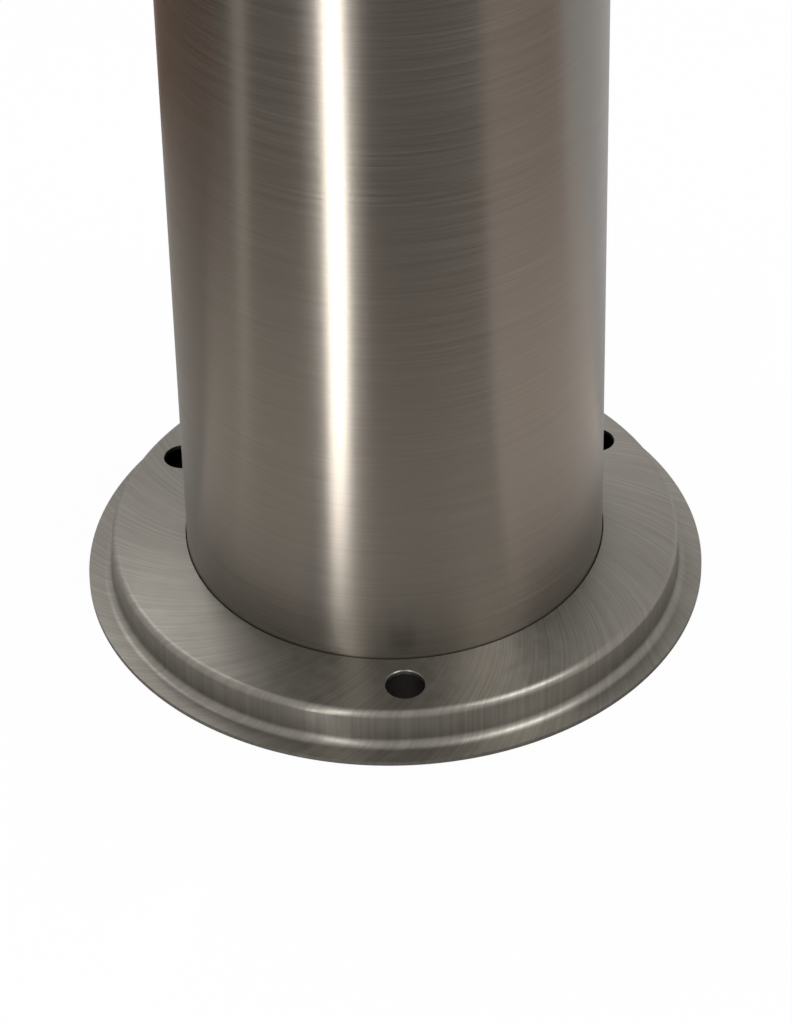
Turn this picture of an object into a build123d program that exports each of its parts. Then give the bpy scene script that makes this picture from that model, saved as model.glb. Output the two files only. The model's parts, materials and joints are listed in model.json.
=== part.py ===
from build123d import *
import os
from math import cos, radians, sin, sqrt

os.makedirs("parts", exist_ok=True)

# Retractable street bollard: a post that slides down into a casing set in the ground.
# Millimetres.  The origin is on the post's axis at paving level, +Z is up, and the post stands raised.
# One fixing bolt hole of the ground flange is at the front, on -Y.

# ---------------------------------------------------------------- driving dimensions
post_d = 139.7                  # standard stainless tube
post_wall = 3.0
post_above = 900.0              # cap top above the paving, raised
post_below = 200.0              # length of post that stays in the casing, raised
cap_above_lowered = 18.0        # cap top above the paving, lowered

running_fit = 0.05              # radial, on every sliding or turning pair
screw_fit = 0.1                 # radial, of a screw in its hole
pair_gap = 0.3                  # between faces that never touch

# cover, pressed from sheet
cover_sheet = 1.5
cover_height = 16.1             # top face at the bore
cover_fall = 1.2                # from the bore to the edge, so that water runs off
cover_land = 6.8                # from a fixing hole to the cover's wall
cover_lip_w = 8.2               # from the wall to the rim
cover_edge_r = 2.4
cover_foot_r = 2.9
cover_bore_gap = 0.4
hole_chamfer = 0.4

# ground flange and its fixing bolts
flange_out = 4.7                # beyond the cover's wall
flange_t = 8.0
flange_bore_gap = 0.8
fixing_count = 3
fixing_clear = 0.5              # from a fixing hole to the casing
fixing_hole_d = 13.0            # M12 clearance

# casing
casing_wall = 2.5
post_to_casing = 2.65           # radial gap that the guides fill
base_t = 6.0
foot_ring_t = 6.0
buffer_t = 20.0
buffer_free = 0.5               # left under the lowered post
drain_d = 50.0
drain_wall = 2.0
drain_length = 54.0              # below the base plate
casing_seat = 2.0                # depth of the casing's groove in the flange's underside
grate_t = 3.0
grate_depth = 2.0               # grate's top below the base plate's top
grate_hole_d = 6.0
grate_ring_r = 14.0

# guides and seal
upper_bush_length = 100.0
guide_ring_length = 25.0
guide_ring_stop = 2.0           # under the upper bush, raised
rail_w = 20.0
rail_t = 1.7
rail_side_gap = 0.5
carrier_wall = 2.4
seal_lip_h = 3.0
seal_body_gap = 0.9

# lock, in the post
lock_depth = 160.0              # bolt axis under the paving, raised
bolt_d = 16.0
bolt_inner = 8.0                # inner end to the axis, drawn back
bolt_drawn_back = 1.35          # tip inside the post's surface, drawn back
bolt_travel = 9.0
bolt_pin_d = 6.0
bolt_pin_at = 14.0
bolt_slot_gap = 0.15
bolt_hole_gap = 0.6             # radial, in the post and the casing
cam_t = 6.0
cam_rim = 2.5
cam_hub_d = 22.0
cam_hub_h = 14.0
lock_turn = 90.0
rod_d = 12.0
carrier_t = 10.0
block_w = 26.0
block_wall = 4.5
block_in = 30.0
block_end_gap = 4.85            # from a guide block to the post's wall
strike_box = 30.0
strike_t = 2.0
strike_out = 7.0

# gas strut, beside the lock rod
strut_to_cam = 2.35             # from the cylinder to the cam's rim
strut_to_foot = 2.5             # from the cylinder to the foot ring
cylinder_d = 26.0
cylinder_wall = 1.5
cylinder_top = -110.0
cylinder_gap = 1.5
gland_h = 20.0
strut_rod_d = 12.0
piston_h = 15.0
foot_pin_d = 8.0
foot_eye_h = 18.0
foot_ear_t = 5.0
foot_ear_gap = 0.5
bracket_drop = 100.0            # bracket's lower face under the cap's top
bracket_t = 10.0
bracket_w = 60.0

# cap and its fittings
cap_t = 20.0
cap_edge_r = 4.0
spigot_h = 20.0
spigot_wall = 6.0
spigot_gap = 0.1
boss_d = 36.0
boss_h = 18.0
key_pocket_d = 26.0
key_pocket_floor = 26.0         # under the cap's top
key_head_side = 13.0            # of the triangular head
key_head_h = 14.0
key_collar_d = 22.0
key_collar_h = 2.0
spindle_d = 16.0
spindle_bush_wall = 4.0
rod_hub_h = 30.0
rod_hub_d = 24.0
flap_d = 34.0
flap_t = 3.0
flap_ear_d = 14.0
flap_pivot = 24.0
flap_gap = 0.4
flap_turn = 90.0
flap_screw_d = 5.0
handle_r = 45.0
handle_bar_d = 8.0
handle_eye_d = 10.0
handle_eye_w = 9.0
handle_sink = 0.4
handle_gap = 0.8
handle_pin_d = 5.0
handle_pin_in = 38.0
finger_w = 48.0
finger_depth = 15.0
finger_in = 21.0
finger_out = 61.0
finger_corner = 7.0

# screws and small pieces
screw_d = 6.0
screw_head_d = 12.0
screw_length = 9.0
ring_screw_d = 3.0
ring_screw_head_d = 6.0
ring_screw_length = 4.6
hex_share = 0.65                # socket across its flats, of the shank's diameter
roll_pin_d = 4.0
nut_across = 19.0
nut_t = 8.0
anchor_w = 40.0
anchor_h = 110.0
anchor_t = 6.0
anchor_hole_d = 20.0
anchor_z = (-290.0, -930.0)

# ---------------------------------------------------------------- sizes that follow
post_r = post_d / 2
post_inner_r = post_r - post_wall
casing_inner_r = post_r + post_to_casing
casing_r = casing_inner_r + casing_wall
travel = post_above - cap_above_lowered
buffer_top = -post_below - travel - buffer_free
base_top = buffer_top - buffer_t
base_low = base_top - base_t
bore_r = post_r + cover_bore_gap
fixing_r = casing_r + fixing_clear + fixing_hole_d / 2
cover_wall_r = fixing_r + fixing_hole_d / 2 + cover_land
cover_slope = cover_fall / (cover_wall_r - bore_r)
flange_r = cover_wall_r + flange_out
cam_r = bolt_pin_at + bolt_travel + bolt_pin_d / 2 + bolt_slot_gap + cam_rim
strut_at = cam_r + strut_to_cam + cylinder_d / 2
foot_inner_r = strut_at + cylinder_d / 2 + strut_to_foot
block_out = post_inner_r - block_end_gap
bracket_z = post_above - bracket_drop
cap_low = post_above - cap_t
lock_z = -lock_depth
bolt_tip = post_r - bolt_drawn_back
lock_rate = bolt_travel / radians(lock_turn)
bolt_hole_r = bolt_d / 2 + bolt_hole_gap
screw_face_r = post_r - pair_gap
strike_z = (lock_z, lock_z - travel)
bolt_angles = (0, 180)
fixing_angles = [-90 + 360 / fixing_count * k for k in range(fixing_count)]
anchor_angles = [angle + 180 / fixing_count for angle in fixing_angles]
rail_angle = 90
rail_outer_r = casing_inner_r
rail_inner_r = casing_inner_r - rail_t
upper_bush_low = -flange_t - upper_bush_length
ring_top = upper_bush_low - guide_ring_stop
ring_tops = (ring_top, -post_below + guide_ring_length)
ring_outer_r = casing_inner_r - running_fit
ring_screw_face_r = ring_outer_r - pair_gap
screw_angles = [-90 + 120 * k for k in range(3)]
carrier_screw_angles = [-30 + 120 * k for k in range(3)]
bracket_angles = (-90, 90)
cap_screw_z = cap_low - spigot_h / 2
cam_low = lock_z + bolt_d / 2 + 0.5
cam_top = cam_low + cam_t
block_h = bolt_d / 2 + running_fit + block_wall
carrier_top = lock_z - block_h
carrier_screw_z = carrier_top - carrier_t / 2
handle_z = post_above - handle_sink - handle_eye_d / 2
key_floor = post_above - key_pocket_floor
key_collar_top = key_floor + key_collar_h
key_head_top = key_collar_top + key_head_h
spindle_bush_r = spindle_d / 2 + spindle_bush_wall
boss_low = cap_low - boss_h
hub_top = boss_low - 2.0
hub_low = hub_top - rod_hub_h
spindle_low = hub_low + 4.0
flap_low = post_above - flap_t


# ---------------------------------------------------------------- shapes used many times
def cylinder(r, low, high, x=0.0, y=0.0):
    """Upright cylinder between two heights."""
    return Pos(x, y, (low + high) / 2) * Cylinder(r, high - low)


def ring(outer, inner, low, high, x=0.0, y=0.0):
    """Upright tube between two heights."""
    return cylinder(outer, low, high, x, y) - cylinder(inner, low - 1, high + 1, x, y)


def block(x0, x1, y0, y1, z0, z1):
    """Box between two corners."""
    return Pos((x0 + x1) / 2, (y0 + y1) / 2, (z0 + z1) / 2) * Box(x1 - x0, y1 - y0, z1 - z0)


def bar_x(r, x0, x1, y=0.0, z=0.0):
    """Round bar along X."""
    return Pos((x0 + x1) / 2, y, z) * Rot(0, 90, 0) * Cylinder(r, abs(x1 - x0))


def bar_y(r, y0, y1, x=0.0, z=0.0):
    """Round bar along Y."""
    return Pos(x, (y0 + y1) / 2, z) * Rot(90, 0, 0) * Cylinder(r, abs(y1 - y0))


def turned(shape, angle):
    """The shape turned about the post's axis."""
    return Rot(0, 0, angle) * shape


def around(shape, angles):
    """Copies of one shape about the post's axis, as separate solids."""
    return Compound(children=[turned(shape, angle) for angle in angles])


def cut_around(body, cutter, angles):
    """A body with the cutter taken out at each angle."""
    for angle in angles:
        body -= turned(cutter, angle)
    return body


def revolved(points):
    """Ring whose section has these (r, z) corners."""
    outline = Polyline(*[(r, 0, z) for r, z in points], close=True)
    return revolve(make_face(outline), Axis.Z)


def hexagon_bar(across, height):
    """Hexagonal bar, its lower face at height 0."""
    return extrude(RegularPolygon(across / sqrt(3), 6), height)


def countersunk(d, head_d, length):
    """Countersunk screw along X, its head's face at x = 0 and its shank towards -X."""
    head_h = (head_d - d) / 2
    shank = bar_x(d / 2, -length, -head_h)
    head = Pos(-head_h / 2, 0, 0) * Rot(0, 90, 0) * Cone(d / 2, head_d / 2, head_h)
    socket = Pos(-head_h, 0, 0) * Rot(0, 90, 0) * hexagon_bar(d * hex_share, head_h + 1)
    return shank + head - socket


def countersink(d, head_d, length, face_r):
    """Hole for such a screw, whose head lies at face_r from the post's axis."""
    grown = d + 2 * screw_fit
    head_h = (head_d - d) / 2
    hole = bar_x(grown / 2, face_r - length - 1, face_r + 5)
    seat_d = head_d + 2 * screw_fit
    seat = Pos(face_r - head_h / 2, 0, 0) * Rot(0, 90, 0) * Cone(grown / 2, seat_d / 2, head_h)
    mouth = bar_x(seat_d / 2, face_r, face_r + 5)
    return hole + seat + mouth


# ---------------------------------------------------------------- casing, fixed in the ground
def casing_tube():
    tube = ring(casing_r, casing_inner_r, base_top, -flange_t + casing_seat)
    hole = bar_x(bolt_hole_r, casing_inner_r - 5, casing_r + 5)
    for z in strike_z:
        tube = cut_around(tube, Pos(0, 0, z) * hole, bolt_angles)
    return tube


def ground_flange():
    plate = ring(flange_r, post_r + flange_bore_gap, -flange_t, 0)
    plate -= ring(casing_r + pair_gap, casing_inner_r - pair_gap, -flange_t - 1, -flange_t + casing_seat)
    hole = cylinder(fixing_hole_d / 2, -flange_t - 1, 1, fixing_r)
    return cut_around(plate, hole, fixing_angles)


def cover_section(shift):
    """Section of the cover's sheet, its outer face moved inwards by shift."""
    wall_r = cover_wall_r - shift
    rim_r = cover_wall_r + cover_lip_w
    lip = cover_sheet - shift
    drop = shift * sqrt(1 + cover_slope ** 2)
    edge_top = cover_height - cover_slope * (wall_r - bore_r) - drop
    corners = [(bore_r, 0, cover_height - drop), (wall_r, 0, edge_top), (wall_r, 0, lip), (rim_r, 0, lip)]
    return FilletPolyline(*corners, radius=[cover_edge_r - shift, cover_foot_r + shift])


def cover_flange():
    outer = cover_section(0)
    inner = cover_section(cover_sheet)
    ends = [Line(outer @ 0, inner @ 0), Line(outer @ 1, inner @ 1)]
    cover = revolve(make_face([*outer.edges(), *inner.edges(), *[end.edge() for end in ends]]), Axis.Z)
    hole = cylinder(fixing_hole_d / 2, 1, cover_height + 5, fixing_r)
    face_z = cover_height - cover_slope * (fixing_r - bore_r)
    sink_h = 2 * hole_chamfer
    sink_r = fixing_hole_d / 2 - hole_chamfer
    sink = Pos(fixing_r, 0, face_z) * Cone(sink_r, sink_r + sink_h, sink_h)
    return cut_around(cover, hole + sink, fixing_angles)


def cover_under(r):
    """Height of the cover's lower face at radius r, under its top."""
    return cover_height - cover_slope * (r - bore_r) - cover_sheet * sqrt(1 + cover_slope ** 2)


seal_top = cover_under(casing_r) - pair_gap
seal_r = casing_r - carrier_wall


def seal_carrier():
    return ring(casing_r, seal_r, 0, seal_top)


def wiper_seal():
    """Rubber ring with one lip at its top and one at its foot, which wipe the post."""
    lip_r = post_r + running_fit
    body_r = lip_r + seal_body_gap
    return revolved([
        (seal_r, 0), (seal_r, seal_top), (lip_r, seal_top), (lip_r, seal_top - seal_lip_h),
        (body_r, seal_top - 2 * seal_lip_h), (body_r, seal_lip_h), (lip_r, seal_lip_h / 2), (lip_r, 0)])


def upper_guide_bush():
    return ring(casing_inner_r, post_r + running_fit, upper_bush_low, -flange_t)


rail_top = upper_bush_low - guide_ring_stop / 2


def guide_rail():
    strip = ring(rail_outer_r, rail_inner_r, buffer_top + 1, rail_top)
    return strip & block(-rail_w / 2, rail_w / 2, 0, casing_r, base_low, 0)


def base_plate():
    return ring(casing_r, drain_d / 2 - drain_wall, base_low, base_top)


grate_top = base_top - grate_depth
grate_low = grate_top - grate_t


def drain_spigot():
    return ring(drain_d / 2, drain_d / 2 - drain_wall, base_low - drain_length, base_low)


def drain_grate():
    grate = cylinder(drain_d / 2 - drain_wall, grate_low, grate_top)
    hole = cylinder(grate_hole_d / 2, grate_low - 1, grate_top + 1, grate_ring_r)
    grate = cut_around(grate, hole, range(0, 360, 45))
    return grate - cylinder(grate_hole_d / 2, grate_low - 1, grate_top + 1)


def rubber_buffer():
    return ring(casing_inner_r - pair_gap, foot_inner_r - pair_gap, base_top, buffer_top)


def strike_pockets():
    """Cups over the lock holes, which keep the ground out of them."""
    half = strike_box / 2
    out = casing_r + strike_out
    cup = block(casing_r - 3, out, -half, half, -half, half)
    cup -= block(casing_r - 4, out - strike_t, strike_t - half, half - strike_t, strike_t - half,
                 half - strike_t)
    cup -= cylinder(casing_r, -half - 1, half + 1)
    return Compound(children=[turned(Pos(0, 0, z) * cup, a) for z in strike_z for a in bolt_angles])


def anchor_lugs():
    """Fins that key the casing into the concrete."""
    fin = block(casing_r - 3, casing_r + anchor_w, -anchor_t / 2, anchor_t / 2, -anchor_h, 0)
    fin = chamfer(fin.edges().filter_by(Axis.Y).group_by(Axis.X)[-1], anchor_w / 4)
    fin -= bar_y(anchor_hole_d / 2, -anchor_t, anchor_t, casing_r + anchor_w / 2, -anchor_h / 2)
    fin -= cylinder(casing_r, -anchor_h - 1, 1)
    return Compound(children=[turned(Pos(0, 0, z) * fin, a) for z in anchor_z for a in anchor_angles])


cylinder_low = base_top + foot_eye_h + foot_pin_d + 2.0
cylinder_inner_r = cylinder_d / 2 - cylinder_wall
eye_w = foot_pin_d * 1.5
ear_in = eye_w / 2 + foot_ear_gap
ear_out = ear_in + foot_ear_t


def strut_foot():
    """Two ears on the base plate that hold the strut's lower eye."""
    half = foot_pin_d
    sole = block(-ear_out, ear_out, strut_at - half, strut_at + half, base_top, base_top + 4)
    ear = block(ear_in, ear_out, strut_at - half, strut_at + half, base_top, base_top + foot_eye_h)
    ear += bar_x(half, ear_in, ear_out, strut_at, base_top + foot_eye_h)
    foot = sole + ear + mirror(ear, Plane.YZ)
    return foot - bar_x(foot_pin_d / 2, -ear_out - 1, ear_out + 1, strut_at, base_top + foot_eye_h)


def strut_foot_pin():
    eye_z = base_top + foot_eye_h
    pin = bar_x(foot_pin_d / 2 - running_fit, -ear_out, ear_out + 3, strut_at, eye_z)
    return pin + bar_x(foot_pin_d * 0.75, -ear_out - 3, -ear_out, strut_at, eye_z)


def gas_cylinder():
    """Closed at the foot, where an eye takes the foot pin."""
    eye_z = base_top + foot_eye_h
    shell = cylinder(cylinder_d / 2, cylinder_low, cylinder_top, 0, strut_at)
    shell -= cylinder(cylinder_inner_r, cylinder_low + 4, cylinder_top + 1, 0, strut_at)
    eye = bar_x(foot_pin_d - 1, -eye_w / 2, eye_w / 2, strut_at, eye_z)
    neck = cylinder(eye_w / 2, eye_z, cylinder_low, 0, strut_at)
    return shell + eye + neck - bar_x(foot_pin_d / 2, -eye_w, eye_w, strut_at, eye_z)


gland_low = cylinder_top - gland_h


def strut_gland():
    return ring(cylinder_inner_r, strut_rod_d / 2 + running_fit, gland_low, cylinder_top, 0, strut_at)


# ---------------------------------------------------------------- post, slides in the casing
def wall_screw_hole():
    """Hole of a screw that passes the post's wall into the piece behind it."""
    return countersink(screw_d, screw_head_d, screw_length, screw_face_r)


def post_tube():
    tube = ring(post_r, post_inner_r, -post_below + foot_ring_t, cap_low)
    bolt_hole = Pos(0, 0, lock_z) * bar_x(bolt_hole_r, post_inner_r - 5, post_r + 5)
    tube = cut_around(tube, bolt_hole, bolt_angles)
    seat = wall_screw_hole()
    tube = cut_around(tube, Pos(0, 0, cap_screw_z) * seat, screw_angles)
    tube = cut_around(tube, Pos(0, 0, carrier_screw_z) * seat, carrier_screw_angles)
    tube = cut_around(tube, Pos(0, 0, bracket_z + bracket_t / 2) * seat, bracket_angles)
    tap = bar_x(ring_screw_d / 2 + screw_fit, post_inner_r - 1, post_r + 1)
    for top in ring_tops:
        tube = cut_around(tube, Pos(0, 0, top - guide_ring_length / 2) * tap, screw_angles)
    return tube


def foot_ring():
    """Closes the tube's lower end and lands on the buffer."""
    return ring(post_r, foot_inner_r, -post_below, -post_below + foot_ring_t)


def guide_rings():
    """Plastic rings round the post, notched for the rail."""
    ring_body = ring(ring_outer_r, post_r, -guide_ring_length, 0)
    half = rail_w / 2 + rail_side_gap
    notch = block(-half, half, 0, casing_r, -guide_ring_length - 1, 1)
    notch -= cylinder(post_r, -guide_ring_length - 2, 2)
    ring_body -= notch
    seat = countersink(ring_screw_d, ring_screw_head_d, ring_screw_length, ring_screw_face_r)
    ring_body = cut_around(ring_body, Pos(0, 0, -guide_ring_length / 2) * seat, screw_angles)
    return Compound(children=[Pos(0, 0, top) * ring_body for top in ring_tops])


def guide_ring_screws():
    screw = Pos(ring_screw_face_r, 0, 0) * countersunk(ring_screw_d, ring_screw_head_d, ring_screw_length)
    placed = []
    for top in ring_tops:
        raised = Pos(0, 0, top - guide_ring_length / 2) * screw
        placed += [turned(raised, angle) for angle in screw_angles]
    return Compound(children=placed)


def post_screws(z, angles):
    """Countersunk screws through the post's wall at one height."""
    screw = Pos(screw_face_r, 0, z) * countersunk(screw_d, screw_head_d, screw_length)
    return around(screw, angles)


insert_r = post_inner_r - spigot_gap


def bolt_carrier():
    """Plate across the post with a guide block for each lock bolt."""
    plate = cylinder(insert_r, carrier_top - carrier_t, carrier_top)
    guide = block(block_in, block_out, -block_w / 2, block_w / 2, carrier_top, lock_z + block_h)
    guide -= bar_x(bolt_d / 2 + running_fit, block_in - 1, block_out + 1, 0, lock_z)
    body = plate + guide + turned(guide, 180)
    body -= cylinder(cylinder_d / 2 + cylinder_gap, carrier_top - carrier_t - 1, carrier_top + 1, 0, strut_at)
    body -= cylinder(cylinder_d / 2, carrier_top - carrier_t - 1, carrier_top + 1, 0, -strut_at)
    body -= cylinder(rod_bush_r, carrier_top - carrier_t - 1, carrier_top + 1)
    return cut_around(body, Pos(0, 0, carrier_screw_z) * wall_screw_hole(), carrier_screw_angles)


rod_bush_r = rod_d / 2 + 3.0


def strut_bracket():
    """Bar across the post that takes the strut's rod and steadies the lock rod."""
    bar = cylinder(insert_r, bracket_z, bracket_z + bracket_t)
    bar &= block(-bracket_w / 2, bracket_w / 2, -post_r, post_r, bracket_z, bracket_z + bracket_t)
    bar -= cylinder(rod_bush_r, bracket_z - 1, bracket_z + bracket_t + 1)
    bar -= cylinder(strut_thread_r + screw_fit, bracket_z - 1, bracket_z + bracket_t + 1, 0, strut_at)
    return cut_around(bar, Pos(0, 0, bracket_z + bracket_t / 2) * wall_screw_hole(), bracket_angles)


strut_thread_r = strut_rod_d / 2 - 1.0


def gas_rod():
    """Piston, rod and threaded end."""
    piston_top = gland_low - 5.0
    rod = cylinder(strut_rod_d / 2, piston_top, bracket_z - nut_t - 2, 0, strut_at)
    piston = cylinder(cylinder_inner_r - running_fit, piston_top - piston_h, piston_top, 0, strut_at)
    end = cylinder(strut_thread_r, bracket_z - nut_t - 2, bracket_z + bracket_t + nut_t + 3, 0, strut_at)
    return rod + piston + end


def rod_nuts():
    """One nut under the bracket and one on it."""
    nut = hexagon_bar(nut_across, nut_t) - cylinder(strut_thread_r, -1, nut_t + 1)
    heights = (bracket_z - nut_t, bracket_z + bracket_t)
    return Compound(children=[Pos(0, strut_at, z) * nut for z in heights])


def lock_rod_bushes():
    bore = rod_d / 2 + running_fit
    lower = ring(rod_bush_r, bore, carrier_top - carrier_t, carrier_top)
    upper = ring(rod_bush_r, bore, bracket_z, bracket_z + bracket_t)
    return Compound(children=[lower, upper])


# ---------------------------------------------------------------- cap
def flap_outline(extra):
    """Round plate with an ear at its pivot, grown by extra all round."""
    plate = Circle(flap_d / 2 + extra)
    ear = Pos(0, flap_pivot) * Circle(flap_ear_d / 2 + extra)
    return make_hull([*plate.edges(), *ear.edges()])


def about_flap_pivot(shape, angle):
    return Pos(0, flap_pivot) * Rot(0, 0, angle) * Pos(0, -flap_pivot) * shape


def flap_recess():
    """Every place that the keyhole cover reaches as it swings aside."""
    outline = flap_outline(flap_gap)
    reach = flap_pivot + flap_d / 2 + flap_gap
    short = flap_pivot - flap_d / 2 - flap_gap
    quarter = Pos(0, flap_pivot) * (Circle(reach) - Circle(short))
    quarter &= Pos(reach / 2, flap_pivot - reach / 2) * Rectangle(reach, reach)
    swept = outline + about_flap_pivot(outline, flap_turn) + quarter
    return Pos(0, 0, flap_low - flap_gap) * extrude(swept, flap_t + flap_gap + 1)


def handle_groove():
    wide = handle_bar_d / 2 + handle_gap
    floor = handle_z - handle_eye_d / 2 - flap_gap
    groove = ring(handle_r + wide, handle_r - wide, floor, post_above + 1)
    groove &= block(-post_r, post_r, -post_r, 0, floor, post_above + 1)
    half = handle_eye_w / 2 + handle_gap
    back = handle_eye_d / 2 + handle_gap
    well = block(handle_r - half, handle_r + half, -back, back, floor, post_above + 1)
    return groove + well + mirror(well, Plane.YZ)


def post_cap():
    top = cylinder(post_r, cap_low, post_above)
    top = fillet(top.edges().group_by(Axis.Z)[-1], cap_edge_r)
    cap = top + cylinder(boss_d / 2, boss_low, cap_low)
    cap -= cylinder(key_pocket_d / 2, key_floor, post_above + 1)
    cap -= cylinder(spindle_bush_r, boss_low - 1, key_floor + 1)
    cap -= flap_recess()
    cap -= handle_groove()
    finger = RectangleRounded(finger_w, finger_out - finger_in, finger_corner)
    finger = extrude(Pos(0, -(finger_in + finger_out) / 2) * finger, finger_depth + 1)
    cap -= Pos(0, 0, post_above - finger_depth) * finger
    for side in (1, -1):
        cap -= bar_x(handle_pin_d / 2, side * (handle_pin_in - 1), side * (post_r + 1), 0, handle_z)
    return cap - cylinder(flap_screw_d / 2, flap_low - 9, post_above, 0, flap_pivot)


def cap_spigot():
    """Ring welded under the cap, which the cap screws hold in the tube."""
    spigot = ring(insert_r, insert_r - spigot_wall, cap_low - spigot_h, cap_low)
    return cut_around(spigot, Pos(0, 0, cap_screw_z) * wall_screw_hole(), screw_angles)


def spindle_bush():
    return ring(spindle_bush_r, spindle_d / 2 + running_fit, boss_low, key_floor)


def handle_pins():
    pin = bar_x(handle_pin_d / 2, handle_pin_in, post_r - handle_gap, 0, handle_z)
    return around(pin, (0, 180))


def flap_screw():
    """Low-headed screw that the keyhole cover turns on."""
    head_r = flap_ear_d / 2 - 2.5
    shank = cylinder(flap_screw_d / 2 - running_fit, flap_low - 8, post_above - 1.2, 0, flap_pivot)
    head = cylinder(head_r, post_above - 1.2, post_above, 0, flap_pivot)
    socket = Pos(0, flap_pivot, post_above - 2.2) * hexagon_bar(3.0, 3)
    return shank + head - socket


def keyhole_cover():
    plate = Pos(0, 0, flap_low) * extrude(flap_outline(0), flap_t)
    plate -= cylinder(flap_screw_d / 2, flap_low - 1, post_above + 1, 0, flap_pivot)
    plate -= cylinder(flap_ear_d / 2 - 2.2, post_above - 1.4, post_above + 1, 0, flap_pivot)
    nail = Pos(0, -flap_d / 2 + 6, post_above) * Rot(0, 90, 0) * Cylinder(1.2, flap_d / 3)
    return plate - nail


def lift_handle():
    """Round bail that lies in the cap's groove, with an eye at each end."""
    section = Pos(handle_r, 0, handle_z) * Rot(90, 0, 0) * Circle(handle_bar_d / 2)
    bail = revolve(section, Axis((0, 0, 0), (0, 0, 1)), -180)
    half = handle_eye_w / 2
    for side in (1, -1):
        x = side * handle_r
        bail += bar_x(handle_eye_d / 2, x - half, x + half, 0, handle_z)
    for side in (1, -1):
        x = side * handle_r
        bail -= bar_x(handle_pin_d / 2 + running_fit, x - handle_eye_w, x + handle_eye_w, 0, handle_z)
    return bail


# ---------------------------------------------------------------- lock, turns in the post
def key_spindle():
    """Triangular head for the key, collar and shaft."""
    head = extrude(RegularPolygon(key_head_side / sqrt(3), 3), key_head_h)
    spindle = Pos(0, 0, key_collar_top) * head
    spindle += cylinder(key_collar_d / 2, key_floor + running_fit, key_collar_top)
    spindle += cylinder(spindle_d / 2, spindle_low, key_floor + running_fit)
    return spindle - bar_x(roll_pin_d / 2, -rod_hub_d, rod_hub_d, 0, hub_pin_z)


hub_pin_z = (spindle_low + hub_top) / 2
cam_pin_z = cam_top + cam_hub_h / 2


def lock_rod():
    """Long rod with a socket at its top for the spindle."""
    rod = cylinder(rod_d / 2, carrier_top - carrier_t - 3, hub_low)
    rod += cylinder(rod_hub_d / 2, hub_low, hub_top)
    rod -= cylinder(spindle_d / 2 + screw_fit, spindle_low - 1, hub_top + 1)
    rod -= bar_x(roll_pin_d / 2, -rod_hub_d, rod_hub_d, 0, hub_pin_z)
    return rod - bar_x(roll_pin_d / 2, -rod_hub_d, rod_hub_d, 0, cam_pin_z)


def lock_rod_pins():
    upper = bar_x(roll_pin_d / 2, -rod_hub_d / 2, rod_hub_d / 2, 0, hub_pin_z)
    lower = bar_x(roll_pin_d / 2, -cam_hub_d / 2, cam_hub_d / 2, 0, cam_pin_z)
    return Compound(children=[upper, lower])


def scroll_slot():
    """Slot whose radius grows evenly with the turn, so that each bolt moves in step with the key."""
    steps = 12
    spare = 3.0
    half = bolt_pin_d / 2 + bolt_slot_gap
    sides = {1: [], -1: []}
    tips = []
    for k in range(steps + 1):
        turn = radians(-spare + (lock_turn + 2 * spare) * k / steps)
        r = bolt_pin_at + lock_rate * turn
        middle = Vector(r * cos(turn), -r * sin(turn))
        along = Vector(lock_rate * cos(turn) - r * sin(turn), -lock_rate * sin(turn) - r * cos(turn))
        along = along.normalized()
        across = Vector(-along.Y, along.X)
        for side in sides:
            sides[side].append(middle + across * (side * half))
        tips.append((middle - along * half, middle + along * half))
    left = Spline(*sides[1])
    right = Spline(*sides[-1])
    start = ThreePointArc(sides[1][0], tips[0][0], sides[-1][0])
    end = ThreePointArc(sides[1][-1], tips[-1][1], sides[-1][-1])
    return make_face([left.edge(), end.edge(), right.edge(), start.edge()])


def scroll_cam():
    cam = cylinder(cam_r, cam_low, cam_top) + cylinder(cam_hub_d / 2, cam_top, cam_top + cam_hub_h)
    slot = Pos(0, 0, cam_low - 1) * extrude(scroll_slot(), cam_t + 2)
    cam -= slot
    cam -= turned(slot, 180)
    cam -= cylinder(rod_d / 2 + screw_fit, cam_low - 1, cam_top + cam_hub_h + 1)
    return cam - bar_x(roll_pin_d / 2, -cam_hub_d, cam_hub_d, 0, cam_pin_z)


def lock_bolt(angle):
    """Round bolt with a rounded tip, drawn back into the post."""
    bolt = bar_x(bolt_d / 2, bolt_inner, bolt_tip, 0, lock_z)
    bolt = fillet(bolt.edges().group_by(Axis.X)[-1], bolt_d / 8)
    bolt -= cylinder(bolt_pin_d / 2, lock_z - bolt_d, lock_z + bolt_d, bolt_pin_at)
    return turned(bolt, angle)


def bolt_pin(angle):
    """Pin that stands up from the bolt into the cam's slot."""
    pin = cylinder(bolt_pin_d / 2, lock_z - bolt_d / 4, cam_top - 0.5, bolt_pin_at)
    return turned(pin, angle)


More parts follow.
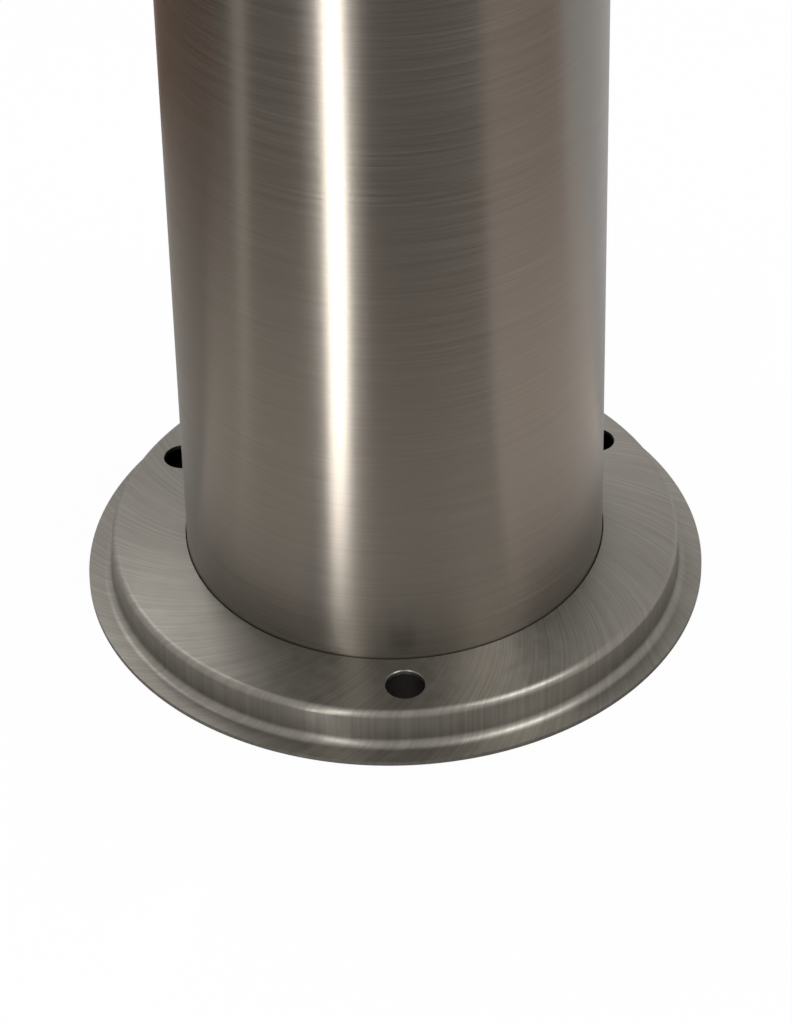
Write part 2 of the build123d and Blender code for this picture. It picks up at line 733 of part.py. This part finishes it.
pieces = {
    "casing_tube": casing_tube(),
    "ground_flange": ground_flange(),
    "cover_flange": cover_flange(),
    "seal_carrier": seal_carrier(),
    "wiper_seal": wiper_seal(),
    "upper_guide_bush": upper_guide_bush(),
    "guide_rail": guide_rail(),
    "base_plate": base_plate(),
    "drain_spigot": drain_spigot(),
    "drain_grate": drain_grate(),
    "rubber_buffer": rubber_buffer(),
    "strike_pockets": strike_pockets(),
    "anchor_lugs": anchor_lugs(),
    "strut_foot": strut_foot(),
    "strut_foot_pin": strut_foot_pin(),
    "gas_cylinder": gas_cylinder(),
    "strut_gland": strut_gland(),
    "post_tube": post_tube(),
    "post_cap": post_cap(),
    "cap_spigot": cap_spigot(),
    "cap_screws": post_screws(cap_screw_z, screw_angles),
    "foot_ring": foot_ring(),
    "guide_rings": guide_rings(),
    "guide_ring_screws": guide_ring_screws(),
    "bolt_carrier": bolt_carrier(),
    "carrier_screws": post_screws(carrier_screw_z, carrier_screw_angles),
    "strut_bracket": strut_bracket(),
    "bracket_screws": post_screws(bracket_z + bracket_t / 2, bracket_angles),
    "gas_rod": gas_rod(),
    "rod_nuts": rod_nuts(),
    "lock_rod_bushes": lock_rod_bushes(),
    "spindle_bush": spindle_bush(),
    "flap_screw": flap_screw(),
    "handle_pins": handle_pins(),
    "key_spindle": key_spindle(),
    "lock_rod": lock_rod(),
    "lock_rod_pins": lock_rod_pins(),
    "scroll_cam": scroll_cam(),
    "lock_bolt_right": lock_bolt(0),
    "bolt_pin_right": bolt_pin(0),
    "lock_bolt_left": lock_bolt(180),
    "bolt_pin_left": bolt_pin(180),
    "lift_handle": lift_handle(),
    "keyhole_cover": keyhole_cover(),
}
for node, piece in pieces.items():
    export_step(piece, f"parts/{node}.step")
print(f"{len(pieces)} nodes, travel {travel:.1f}, casing foot at {base_low:.1f}")
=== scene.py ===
import json
import math
import bmesh
import bpy
import numpy as np
from mathutils import Matrix, Vector


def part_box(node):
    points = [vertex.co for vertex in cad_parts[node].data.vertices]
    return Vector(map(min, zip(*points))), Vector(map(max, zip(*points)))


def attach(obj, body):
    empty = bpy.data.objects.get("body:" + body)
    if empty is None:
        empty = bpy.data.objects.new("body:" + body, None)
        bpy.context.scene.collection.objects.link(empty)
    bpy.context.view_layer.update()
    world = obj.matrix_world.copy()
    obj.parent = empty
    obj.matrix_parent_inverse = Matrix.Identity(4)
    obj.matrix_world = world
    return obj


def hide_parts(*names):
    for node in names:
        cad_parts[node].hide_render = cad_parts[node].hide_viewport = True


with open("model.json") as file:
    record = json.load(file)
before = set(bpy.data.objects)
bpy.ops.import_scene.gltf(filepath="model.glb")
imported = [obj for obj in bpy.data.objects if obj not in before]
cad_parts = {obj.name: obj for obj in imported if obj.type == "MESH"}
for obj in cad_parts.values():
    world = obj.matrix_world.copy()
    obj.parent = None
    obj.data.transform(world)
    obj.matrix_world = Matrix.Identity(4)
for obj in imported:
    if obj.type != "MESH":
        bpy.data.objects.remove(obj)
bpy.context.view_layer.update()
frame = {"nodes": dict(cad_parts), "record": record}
print("frame loaded,", len(frame["nodes"]), "nodes")

postLow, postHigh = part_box("post_tube")
coverLow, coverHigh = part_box("cover_flange")
postR = (postHigh.x - postLow.x) / 2
coverR = (coverHigh.x - coverLow.x) / 2
coverTop = coverHigh.z
mm = 0.001


# camera, a long lens looking down at the foot of the post
cameraSet = {
    "elevation": 39.139,    # degrees down
    "turn": -1.6,           # degrees round the post, so the front hole sits a little right
    "distance": 1.46036,
    "aside": 0.00064,
    "up": 0.01589,
    "roll": -1.336,
    "lens": 151.56,
}


def makeCamera(s):
    # back along the view line from the origin, then aside and up in the camera's own plane
    e = math.radians(s["elevation"])
    roll = math.radians(s["roll"])
    forward = Vector((0, math.cos(e), -math.sin(e)))
    right = Vector((1, 0, 0))
    up = right.cross(forward)
    spot = -forward * s["distance"] + right * s["aside"] + up * s["up"]
    camX = right * math.cos(roll) + up * math.sin(roll)
    camY = up * math.cos(roll) - right * math.sin(roll)
    turn = Matrix.Rotation(math.radians(s["turn"]), 4, "Z")
    pose = Matrix((camX, camY, -forward)).transposed().to_4x4()
    pose.translation = spot
    data = bpy.data.cameras.new("mainCamera")
    data.lens = s["lens"]
    data.sensor_width = 36
    data.clip_start = 0.05
    cam = bpy.data.objects.new("mainCamera", data)
    bpy.context.scene.collection.objects.link(cam)
    cam.matrix_world = turn @ pose
    bpy.context.scene.camera = cam


makeCamera(cameraSet)


# short ways to add and join shader nodes
def newMaterial(name):
    mat = bpy.data.materials.new(name)
    mat.use_nodes = True
    tree = mat.node_tree
    return mat, tree, tree.nodes["Principled BSDF"]


def addNode(tree, kind, **values):
    node = tree.nodes.new(kind)
    for key, value in values.items():
        if hasattr(node, key):
            setattr(node, key, value)
        else:
            node.inputs[key.replace("_", " ")].default_value = value
    return node


def mathNode(tree, operation, a, b):
    node = addNode(tree, "ShaderNodeMath", operation=operation)
    for socket, value in zip(node.inputs, (a, b)):
        if isinstance(value, (int, float)):
            socket.default_value = value
        else:
            tree.links.new(value, socket)
    return node.outputs[0]


def blend(tree, a, b, share):
    # a times the share plus b times the rest
    first, rest = mathNode(tree, "MULTIPLY", a, share), mathNode(tree, "MULTIPLY", b, 1 - share)
    return mathNode(tree, "ADD", first, rest)


def scaledObject(tree, scale):
    coords = tree.nodes.new("ShaderNodeTexCoord")
    mapping = addNode(tree, "ShaderNodeMapping")
    mapping.inputs["Scale"].default_value = scale
    tree.links.new(coords.outputs["Object"], mapping.inputs["Vector"])
    return mapping.outputs["Vector"]


def noise(tree, vector, scale=1.0, detail=4.0, rough=0.6):
    node = addNode(tree, "ShaderNodeTexNoise", Scale=scale, Detail=detail, Roughness=rough)
    tree.links.new(vector, node.inputs["Vector"])
    return node.outputs["Fac"]


def ramp(tree, value, stops):
    node = tree.nodes.new("ShaderNodeValToRGB")
    elements = node.color_ramp.elements
    while len(elements) < len(stops):
        elements.new(0.5)
    for element, (place, colour) in zip(elements, stops):
        element.position = place
        element.color = (*colour, 1)
    tree.links.new(value, node.inputs["Fac"])
    return node.outputs["Color"]


def toRange(tree, value, low, high):
    node = tree.nodes.new("ShaderNodeMapRange")
    tree.links.new(value, node.inputs["Value"])
    node.inputs["To Min"].default_value = low
    node.inputs["To Max"].default_value = high
    return node.outputs["Result"]


def mixColours(tree, factor, a, b):
    node = addNode(tree, "ShaderNodeMix", data_type="RGBA")
    for socket, value in ((node.inputs[0], factor), (node.inputs[6], a), (node.inputs[7], b)):
        if isinstance(value, (int, float)):
            socket.default_value = value
        elif isinstance(value, tuple):
            socket.default_value = (*value, 1)
        else:
            tree.links.new(value, socket)
    return node.outputs[2]


def bump(tree, shader, height, strength, distance):
    node = addNode(tree, "ShaderNodeBump", Strength=strength, Distance=distance)
    tree.links.new(height, node.inputs["Height"])
    tree.links.new(node.outputs["Normal"], shader.inputs["Normal"])


def swirlVector(tree, around, along, twist):
    # direction from the axis times around, turned as the radius grows, with the radius times along as Z
    coords = tree.nodes.new("ShaderNodeTexCoord")
    split = tree.nodes.new("ShaderNodeSeparateXYZ")
    tree.links.new(coords.outputs["Object"], split.inputs[0])
    flat = tree.nodes.new("ShaderNodeCombineXYZ")
    tree.links.new(split.outputs["X"], flat.inputs["X"])
    tree.links.new(split.outputs["Y"], flat.inputs["Y"])
    length = addNode(tree, "ShaderNodeVectorMath", operation="LENGTH")
    unit = addNode(tree, "ShaderNodeVectorMath", operation="NORMALIZE")
    tree.links.new(flat.outputs[0], length.inputs[0])
    tree.links.new(flat.outputs[0], unit.inputs[0])
    turned = addNode(tree, "ShaderNodeVectorRotate", rotation_type="Z_AXIS")
    tree.links.new(unit.outputs[0], turned.inputs["Vector"])
    tree.links.new(mathNode(tree, "MULTIPLY", length.outputs["Value"], twist), turned.inputs["Angle"])
    grown = addNode(tree, "ShaderNodeVectorMath", operation="SCALE", Scale=around)
    tree.links.new(turned.outputs[0], grown.inputs[0])
    parts = tree.nodes.new("ShaderNodeSeparateXYZ")
    tree.links.new(grown.outputs[0], parts.inputs[0])
    joined = tree.nodes.new("ShaderNodeCombineXYZ")
    tree.links.new(parts.outputs["X"], joined.inputs["X"])
    tree.links.new(parts.outputs["Y"], joined.inputs["Y"])
    tree.links.new(mathNode(tree, "MULTIPLY", length.outputs["Value"], along), joined.inputs["Z"])
    return joined.outputs[0]


# finishes, one function for each kind of surface
tubeFinishSet = {
    "base": (0.186, 0.172, 0.155),
    "dark": (0.160, 0.147, 0.131),
    "light": (0.220, 0.206, 0.188),
    "warm": (0.190, 0.160, 0.122),
    "warmShare": 0.35,
    "steps": (0.30, 0.50, 0.72),    # where the dark, base and light tones stand in the noise
    "roughness": (0.23, 0.39),
    "spread": 0.90,
    "bump": 0.10,
}
coverFinishSet = {
    "base": (0.205, 0.193, 0.172),
    "dark": (0.170, 0.158, 0.139),
    "light": (0.265, 0.252, 0.228),
    "warm": (0.190, 0.172, 0.135),
    "warmShare": 0.30,
    "steps": (0.32, 0.50, 0.70),
    "roughness": (0.27, 0.40),
    "spread": 0.85,
    "bump": 0.14,
}


def brushedSteel(tree, shader, s, scratches, clouds, patches):
    # tone from the scratches, warmed by the clouds, with a highlight drawn out across the scratches
    lines = ramp(tree, scratches, list(zip(s["steps"], (s["dark"], s["base"], s["light"]))))
    tinted = mixColours(tree, mathNode(tree, "MULTIPLY", clouds, s["warmShare"]), lines, s["warm"])
    tree.links.new(tinted, shader.inputs["Base Color"])
    tree.links.new(toRange(tree, patches, *s["roughness"]), shader.inputs["Roughness"])
    shader.inputs["Metallic"].default_value = 1
    shader.inputs["Anisotropic"].default_value = s["spread"]
    shader.inputs["Anisotropic Rotation"].default_value = 0.25
    tangent = addNode(tree, "ShaderNodeTangent", direction_type="RADIAL", axis="Z")
    tree.links.new(tangent.outputs[0], shader.inputs["Tangent"])
    bump(tree, shader, scratches, s["bump"], 0.00005)


def brushedTube(s):
    # scratches run round the tube, so the noise is fine up the post and long around it
    mat, tree, shader = newMaterial("brushedTube")
    fine = noise(tree, scaledObject(tree, (30, 30, 3200)), 1, 3, 0.7)
    coarse = noise(tree, scaledObject(tree, (16, 16, 900)), 1, 4, 0.6)
    cloud = noise(tree, scaledObject(tree, (7, 7, 5)), 1, 3, 0.5)
    brushedSteel(tree, shader, s, blend(tree, fine, coarse, 0.6), cloud, coarse)
    return mat


def brushedCover(s):
    # swirled brush lines that run almost straight out from the post
    mat, tree, shader = newMaterial("brushedCover")
    fine = noise(tree, swirlVector(tree, 95, 26, 9.0), 1, 3, 0.65)
    broad = noise(tree, swirlVector(tree, 4.2, 4, 5.0), 1, 3, 0.55)
    rings = noise(tree, scaledObject(tree, (240, 240, 240)), 1, 2, 0.5)
    brushedSteel(tree, shader, s, blend(tree, fine, broad, 0.7), broad, rings)
    return mat


def metal(name, base, dark, roughness, grain, depth=0.00004):
    # plain machined or drawn metal with a cloudy tone and fine grain
    mat, tree, shader = newMaterial(name)
    cloud = noise(tree, scaledObject(tree, (18, 18, 18)), 1, 5, 0.6)
    fine = noise(tree, scaledObject(tree, grain), 1, 3, 0.6)
    both = blend(tree, cloud, fine, 0.5)
    tree.links.new(ramp(tree, both, [(0.35, dark), (0.62, base)]), shader.inputs["Base Color"])
    tree.links.new(toRange(tree, fine, roughness - 0.08, roughness + 0.1), shader.inputs["Roughness"])
    shader.inputs["Metallic"].default_value = 1
    bump(tree, shader, fine, 0.3, depth)
    return mat


def galvanised():
    # zinc crystals a centimetre or so across, with dull grey between them
    mat, tree, shader = newMaterial("galvanised")
    vector = scaledObject(tree, (1, 1, 1))
    cells = addNode(tree, "ShaderNodeTexVoronoi", Scale=85.0)
    tree.links.new(vector, cells.inputs["Vector"])
    tone = addNode(tree, "ShaderNodeSeparateColor")
    tree.links.new(cells.outputs["Color"], tone.inputs[0])
    dust = noise(tree, vector, 14, 6, 0.65)
    both = blend(tree, tone.outputs[0], dust, 0.35)
    colour = ramp(tree, both, [(0.25, (0.30, 0.31, 0.315)), (0.75, (0.50, 0.51, 0.515))])
    tree.links.new(colour, shader.inputs["Base Color"])
    tree.links.new(toRange(tree, both, 0.62, 0.40), shader.inputs["Roughness"])
    shader.inputs["Metallic"].default_value = 0.55
    bump(tree, shader, dust, 0.35, 0.0004)
    return mat


def plain(name, base, other, roughness, scale, depth):
    # rubber, plastic and paint: a faint mottle with a fine grain
    mat, tree, shader = newMaterial(name)
    mottle = noise(tree, scaledObject(tree, (1, 1, 1)), scale, 5, 0.6)
    grain = noise(tree, scaledObject(tree, (1, 1, 1)), scale * 14, 2, 0.5)
    tree.links.new(ramp(tree, mottle, [(0.35, base), (0.7, other)]), shader.inputs["Base Color"])
    tree.links.new(toRange(tree, grain, roughness - 0.08, roughness + 0.08), shader.inputs["Roughness"])
    bump(tree, shader, grain, 0.3, depth)
    return mat


tubeFinish = brushedTube(tubeFinishSet)
coverFinish = brushedCover(coverFinishSet)
galvanisedFinish = galvanised()
millFinish = metal("millSteel", (0.40, 0.39, 0.37), (0.25, 0.24, 0.22), 0.34, (60, 60, 60))
capFinish = metal("turnedCap", (0.29, 0.27, 0.245), (0.19, 0.175, 0.155), 0.30, (900, 30, 30))
screwFinish = metal("screwSteel", (0.48, 0.47, 0.45), (0.30, 0.29, 0.28), 0.28, (300, 300, 300))
bronzeFinish = metal("bronze", (0.52, 0.33, 0.15), (0.33, 0.20, 0.09), 0.36, (200, 200, 900))
chromeFinish = metal("hardChrome", (0.66, 0.67, 0.68), (0.55, 0.56, 0.57), 0.14, (30, 30, 800), 0.00001)
rubberFinish = plain("blackRubber", (0.016, 0.016, 0.016), (0.030, 0.029, 0.028), 0.66, 40, 0.0002)
plasticFinish = plain("whiteNylon", (0.70, 0.69, 0.63), (0.78, 0.77, 0.72), 0.42, 30, 0.0001)
blackPaint = plain("blackPaint", (0.012, 0.012, 0.013), (0.022, 0.022, 0.024), 0.26, 30, 0.0001)
# painted shade: a near-black metal that stands for the shade under the cover, seen through its holes
paintedShadePlate = metal("paintedShadePlate", (0.085, 0.075, 0.065), (0.035, 0.030, 0.026), 0.62, (160, 160, 160), 0.0001)
finishOfSlot = {
    "satin_steel": capFinish, "mill_steel": millFinish, "zinc_steel": galvanisedFinish,
    "black_rubber": rubberFinish, "guide_plastic": plasticFinish, "bronze": bronzeFinish,
    "strut_black": blackPaint, "hard_chrome": chromeFinish, "zinc_screw": screwFinish,
}
# painted shade: the ground flange and seal carrier take this dark plate in place of their own finish
finishOfNode = {"ground_flange": paintedShadePlate, "seal_carrier": paintedShadePlate}
for part in frame["record"]["subparts"]:
    slots = frame["nodes"][part["node"]].data.materials
    if len(slots) == 0:
        slots.append(None)
    for k in range(len(slots)):
        slots[k] = finishOfNode.get(part["node"], finishOfSlot[part["material_slot"]])
print("finishes made")


# turned pieces: a closed section carried round the axis
def arcPoints(centre, radius, start, end, count):
    # points on a circle in the (r, z) plane, angles in degrees
    a = np.radians(np.linspace(start, end, count))
    return np.stack([centre[0] + radius * np.cos(a), centre[1] + radius * np.sin(a)], 1)


def turnedMesh(name, section, around):
    # point (i, j) is section point j turned by angle i: x = r cos a, y = r sin a, z = z
    a = np.linspace(0, 2 * math.pi, around, endpoint=False)
    r, z = section[:, 0], section[:, 1]
    x, y = np.outer(np.cos(a), r), np.outer(np.sin(a), r)
    points = np.stack([x, y, np.broadcast_to(z, x.shape)], -1).reshape(-1, 3)
    i, j = np.meshgrid(np.arange(around), np.arange(len(section)), indexing="ij")
    k, n = (i + 1) % around, (j + 1) % len(section)
    w = len(section)
    quads = np.stack([i * w + j, k * w + j, k * w + n, i * w + n], -1).reshape(-1, 4)
    mesh = bpy.data.meshes.new(name)
    mesh.vertices.add(len(points))
    mesh.vertices.foreach_set("co", points.ravel())
    mesh.loops.add(quads.size)
    mesh.loops.foreach_set("vertex_index", quads.ravel())
    mesh.polygons.add(len(quads))
    mesh.polygons.foreach_set("loop_start", np.arange(0, quads.size, 4))
    mesh.update(calc_edges=True)
    outward(mesh)
    piece = bpy.data.objects.new(name, mesh)
    bpy.context.scene.collection.objects.link(piece)
    return piece


def outward(mesh):
    bm = bmesh.new()
    bm.from_mesh(mesh)
    bmesh.ops.recalc_face_normals(bm, faces=bm.faces)
    bm.to_mesh(mesh)
    bm.free()


def getPoints(mesh):
    points = np.zeros(len(mesh.vertices) * 3)
    mesh.vertices.foreach_get("co", points)
    return points.reshape(-1, 3)


def roundBar(name, radius, start, end, around=48):
    # closed cylinder between two points, used only to cut holes
    axis = end - start
    turn = axis.to_track_quat("Z", "Y").to_matrix().to_4x4()
    bm = bmesh.new()
    bmesh.ops.create_cone(bm, cap_ends=True, segments=around, radius1=radius, radius2=radius,
                          depth=axis.length)
    bm.transform(Matrix.Translation((start + end) / 2) @ turn)
    mesh = bpy.data.meshes.new(name)
    bm.to_mesh(mesh)
    bm.free()
    bar = bpy.data.objects.new(name, mesh)
    bpy.context.scene.collection.objects.link(bar)
    return bar


def cutHoles(piece, cutters, crease):
    # takes the cutters out, keeps the result as the piece's own mesh and marks its creases
    for cutter in cutters:
        hole = piece.modifiers.new("hole", "BOOLEAN")
        hole.operation = "DIFFERENCE"
        hole.solver = "EXACT"
        hole.object = cutter
    bpy.context.view_layer.update()
    seen = piece.evaluated_get(bpy.context.evaluated_depsgraph_get())
    result = bpy.data.meshes.new_from_object(seen)
    piece.modifiers.clear()
    piece.data = result
    for cutter in cutters:
        bpy.data.objects.remove(cutter)
    shadeByAngle(piece, crease)


def shadeByAngle(piece, crease):
    mesh = piece.data
    mesh.polygons.foreach_set("use_smooth", np.ones(len(mesh.polygons), bool))
    mesh.set_sharp_from_angle(angle=math.radians(crease))


# cover, pressed from sheet, with a rounded edge and a flat lip
coverSet = {
    "sheet": 1.5 * mm,
    "fall": 1.2 * mm,               # from the bore to the wall
    "wallR": 95.3 * mm,
    "edge": 2.4 * mm,
    "foot": 2.9 * mm,
    "bore": 70.25 * mm,
    "holeR": 6.5 * mm,
    "holeAt": 82.0 * mm,
    "holeAngles": (-90, 30, 150),
    "chamfer": 0.4 * mm,
    "around": 720,
}


def coverFace(s, inset):
    # bore, slightly falling top, rounded edge, wall, hollow foot and lip
    # the lower face is the same outline, inset by the sheet
    wall = s["wallR"] - inset
    edge, foot = s["edge"] - inset, s["foot"] + inset
    slope = math.atan(s["fall"] / (s["wallR"] - s["bore"]))
    drop = inset / math.cos(slope)
    lip = s["sheet"] - inset
    edgeTop = coverTop - drop - math.tan(slope) * (wall - edge - s["bore"])
    edgeCentre = (wall - edge, edgeTop - edge)
    footCentre = (wall + foot, lip + foot)
    flat = np.array([[r, coverTop - drop - math.tan(slope) * (r - s["bore"])]
                     for r in np.linspace(s["bore"], wall - edge - 0.3 * mm, 12)])
    return np.concatenate([
        flat,
        arcPoints(edgeCentre, edge, 90 - math.degrees(slope), 0, 12),
        arcPoints(footCentre, foot, 180, 270, 12),
        np.array([[r, lip] for r in np.linspace(wall + foot + 0.3 * mm, coverR, 5)]),
    ])


def makeCover(s):
    section = np.concatenate([coverFace(s, 0), coverFace(s, s["sheet"])[::-1]])
    cover = turnedMesh("coverPressing", section, s["around"])
    face = coverTop - s["fall"] * (s["holeAt"] - s["bore"]) / (s["wallR"] - s["bore"])
    cutters = []
    for angle in s["holeAngles"]:
        a = math.radians(angle)
        spot = Vector((s["holeAt"] * math.cos(a), s["holeAt"] * math.sin(a), 0))
        low, high = Vector((0, 0, 8 * mm)), Vector((0, 0, 22 * mm))
        cutters.append(roundBar("cut", s["holeR"], spot + low, spot + high, 96))
        low, high = Vector((0, 0, face - 2 * s["chamfer"])), Vector((0, 0, face + 2 * s["chamfer"]))
        cone = roundBar("cut", s["holeR"], spot + low, spot + high, 96)
        # the radius grows by as much as the height above the cover's face
        middle = np.array(spot + Vector((0, 0, face)))
        out = getPoints(cone.data) - middle
        out[:, :2] *= (s["holeR"] + out[:, 2:]) / s["holeR"]
        cone.data.vertices.foreach_set("co", (middle + out).ravel())
        cutters.append(cone)
    cutHoles(cover, cutters, 28)
    cover.data.materials.clear()
    cover.data.materials.append(coverFinish)
    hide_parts("cover_flange")
    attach(cover, "casing")


makeCover(coverSet)
print("cover made")


# post tube, with its screw and bolt holes
tubeSet = {
    "wall": 3.0 * mm,
    "hem": 0.4 * mm,
    "around": 720,
    "rows": 60,
    "screwR": 6.1 * mm,
    "boltR": 8.6 * mm,
    "screws": {"cap_screws": (-90, 30, 150), "bracket_screws": (-90, 90), "carrier_screws": (-30, 90, 210)},
}


def makeTube(s):
    low, high, inner, hem = postLow.z, postHigh.z, postR - s["wall"], s["hem"]
    heights = np.linspace(low + hem, high - hem, s["rows"])
    section = np.concatenate([
        np.stack([np.full(s["rows"], postR), heights], 1),
        np.array([[postR - hem, high], [inner, high]]),
        np.stack([np.full(2, inner), [high - hem, low + hem]], 1),
        np.array([[inner, low], [postR - hem, low]]),
    ])
    tube = turnedMesh("postSkin", section, s["around"])
    cutters = []

    def radial(radius, angle, z):
        out = Vector((math.cos(math.radians(angle)), math.sin(math.radians(angle)), 0))
        cutters.append(roundBar("cut", radius, out * (inner - 4 * mm) + Vector((0, 0, z)),
                                out * (postR + 4 * mm) + Vector((0, 0, z))))

    for node, angles in s["screws"].items():
        lo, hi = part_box(node)
        for angle in angles:
            radial(s["screwR"], angle, (lo.z + hi.z) / 2)
    lo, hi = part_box("lock_bolt_right")
    for angle in (0, 180):
        radial(s["boltR"], angle, (lo.z + hi.z) / 2)
    cutHoles(tube, cutters, 28)
    tube.data.materials.clear()
    tube.data.materials.append(tubeFinish)
    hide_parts("post_tube")
    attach(tube, "post")


makeTube(tubeSet)
print("post made")


# weld bead where the casing meets the ground flange
weldSet = {"radius": 1.9 * mm, "ripples": 150, "around": 900, "sink": 0.35}


def makeWeld(s):
    # ring whose section is a circle: the circle's radius swells with each ripple
    lo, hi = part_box("casing_tube")
    r = (hi.x - lo.x) / 2 + s["sink"] * s["radius"]
    z = hi.z - s["sink"] * s["radius"]
    bead = turnedMesh("flangeWeld", arcPoints((r, z), s["radius"], 0, 345, 24), s["around"])
    co = getPoints(bead.data)
    a = np.arctan2(co[:, 1], co[:, 0])
    reach = np.hypot(co[:, 0], co[:, 1])
    swell = 0.10 * np.abs(np.sin(a * s["ripples"] / 2))
    newReach = r + (reach - r) * (0.92 + swell)
    co[:, 0], co[:, 1] = newReach * np.cos(a), newReach * np.sin(a)
    co[:, 2] = z + (co[:, 2] - z) * (0.92 + swell)
    bead.data.vertices.foreach_set("co", co.ravel())
    shadeByAngle(bead, 60)
    bead.data.materials.append(galvanisedFinish)
    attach(bead, "casing")


makeWeld(weldSet)
print("weld made")


# floor, world, lamps and floor cards
floorSet = {"radius": 0.46, "top": -1.0 * mm, "low": -3.0 * mm, "colour": (0.86, 0.86, 0.86)}
worldSet = {"diffuse": 0.55, "seen": 1.0}


def makeFloor(s):
    inner = coverR * 0.985          # under the cover's lip
    section = [[inner, s["top"]], [s["radius"], s["top"]], [s["radius"], s["low"]], [inner, s["low"]]]
    floor = turnedMesh("studioFloor", np.array(section), 128)
    mat, tree, shader = newMaterial("paleFloor")
    shader.inputs["Base Color"].default_value = (*s["colour"], 1)
    shader.inputs["Roughness"].default_value = 0.9
    glow = addNode(tree, "ShaderNodeEmission", Strength=1.0)
    pick = tree.nodes.new("ShaderNodeMixShader")
    path = tree.nodes.new("ShaderNodeLightPath")
    tree.links.new(mathNode(tree, "MULTIPLY", path.outputs["Is Camera Ray"], 0.98), pick.inputs[0])
    tree.links.new(shader.outputs[0], pick.inputs[1])
    tree.links.new(glow.outputs[0], pick.inputs[2])
    tree.links.new(pick.outputs[0], tree.nodes["Material Output"].inputs["Surface"])
    floor.data.materials.append(mat)


def makeWorld(s):
    world = bpy.data.worlds.new("studioWorld")
    bpy.context.scene.world = world
    world.use_nodes = True
    tree = world.node_tree
    background = tree.nodes["Background"]
    background.inputs["Color"].default_value = (1, 1, 1, 1)
    path = tree.nodes.new("ShaderNodeLightPath")
    seen = mathNode(tree, "MAXIMUM", path.outputs["Is Camera Ray"], path.outputs["Is Transmission Ray"])
    seen = mathNode(tree, "MAXIMUM", seen, path.outputs["Is Glossy Ray"])
    strength = toRange(tree, seen, s["diffuse"], s["seen"])
    tree.links.new(strength, background.inputs["Strength"])


def makeLamp(name, azimuth, elevation, distance, width, height, power):
    # azimuth 0 is in front of the post, positive to the right
    a, e = math.radians(azimuth), math.radians(elevation)
    back = Vector((math.sin(a) * math.cos(e), -math.cos(a) * math.cos(e), math.sin(e)))
    data = bpy.data.lights.new(name, "AREA")
    data.shape = "RECTANGLE"
    data.size, data.size_y = width, height
    data.energy = power
    lamp = bpy.data.objects.new(name, data)
    bpy.context.scene.collection.objects.link(lamp)
    lamp.rotation_mode = "QUATERNION"
    lamp.location = back * distance + Vector((0, 0, 0.1))
    lamp.rotation_quaternion = back.to_track_quat("Z", "Y")


def makeFloorCard(name, azimuth, outline, colour, strength, lift):
    # lies on the floor and is seen only in reflections
    # outline is (distance, half angle) pairs going outwards: x = d sin a, y = -d cos a
    share = np.linspace(-1, 1, 25)
    distance = np.repeat([d for d, half in outline], len(share))
    a = np.radians(azimuth + np.outer([half for d, half in outline], share).ravel())
    points = np.stack([distance * np.sin(a), -distance * np.cos(a), np.full(a.size, lift)], 1)
    mesh = bpy.data.meshes.new(name)
    w = len(share)
    k, j = np.meshgrid(np.arange(len(outline) - 1), np.arange(w - 1), indexing="ij")
    corner = (k * w + j).ravel()
    faces = np.stack([corner, corner + 1, corner + w + 1, corner + w], 1)
    mesh.from_pydata(points.tolist(), [], faces.tolist())
    mat, tree, shader = newMaterial(name)
    shader.inputs["Base Color"].default_value = (0, 0, 0, 1)
    shader.inputs["Emission Color"].default_value = (*colour, 1)
    shader.inputs["Emission Strength"].default_value = strength
    mesh.materials.append(mat)
    card = bpy.data.objects.new(name, mesh)
    bpy.context.scene.collection.objects.link(card)
    card.visible_camera = False
    card.visible_shadow = False
    card.visible_diffuse = False


# azimuth, elevation, distance, width, height, power
lamps = {
    "stripLamp": (-24, 30, 2.4, 0.30, 1.8, 9),
    "softLamp": (60, 55, 2.6, 1.2, 1.2, 26),
    "backLamp": (-150, 50, 2.6, 1.2, 1.2, 9),
}
streakWhite, haloWhite, faintWhite = (1.0, 0.98, 0.95), (0.9, 0.86, 0.80), (0.95, 0.90, 0.82)
nearGrey, midBrown, farBrown = (0.66, 0.62, 0.56), (0.34, 0.31, 0.27), (0.10, 0.08, 0.06)
leftEdgeGrey, leftGrey, orange = (0.48, 0.45, 0.41), (0.86, 0.80, 0.72), (0.14, 0.055, 0.014)
warmNear, warmFar = (0.84, 0.76, 0.70), (0.50, 0.39, 0.33)
near, far = 0.30, 1.6               # where a near card ends, and where a far one does

# azimuth, outline, colour, strength, lift
floorCards = {
    "streakCard": (-25, [(0.162, 0.2), (0.19, 3.2), (0.23, 4.4), (far, 4.9)], streakWhite, 13.0, 1.5 * mm),
    "haloCard": (-24, [(0.160, 3), (0.20, 11), (far, 12)], haloWhite, 1.0, 1.0 * mm),
    "faintCard": (-72, [(0.13, 1.5), (near, 3.0), (1.5, 4.0)], faintWhite, 1.0, 1.0 * mm),
    "leftEdgeCard": (-122, [(0.125, 24), (near, 24)], leftEdgeGrey, 1.0, 0.5 * mm),
    "leftNearCard": (-68, [(0.125, 30), (near, 30)], leftGrey, 1.0, 0.5 * mm),
    "leftFarCard": (-62, [(near, 24), (far, 24)], farBrown, 1.0, 0.5 * mm),
    "orangeCard": (-120, [(near, 34), (far, 34)], orange, 1.0, 0.5 * mm),
    "frontNearCard": (14, [(0.125, 31), (0.24, 31)], nearGrey, 1.0, 0.5 * mm),
    "frontMidCard": (14, [(0.24, 31), (near, 31)], midBrown, 1.0, 0.5 * mm),
    "frontFarCard": (14, [(near, 31), (far, 31)], farBrown, 1.0, 0.5 * mm),
    "warmCard": (80, [(0.125, 35), (near, 35)], warmNear, 1.25, 0.5 * mm),
    "warmFarCard": (68, [(near, 23), (far, 23)], warmFar, 1.0, 0.5 * mm),
}

makeFloor(floorSet)
makeWorld(worldSet)
for name, settings in lamps.items():
    makeLamp(name, *settings)
for name, settings in floorCards.items():
    makeFloorCard(name, *settings)
scene = bpy.context.scene
scene.view_settings.view_transform = "Standard"
print("studio made")
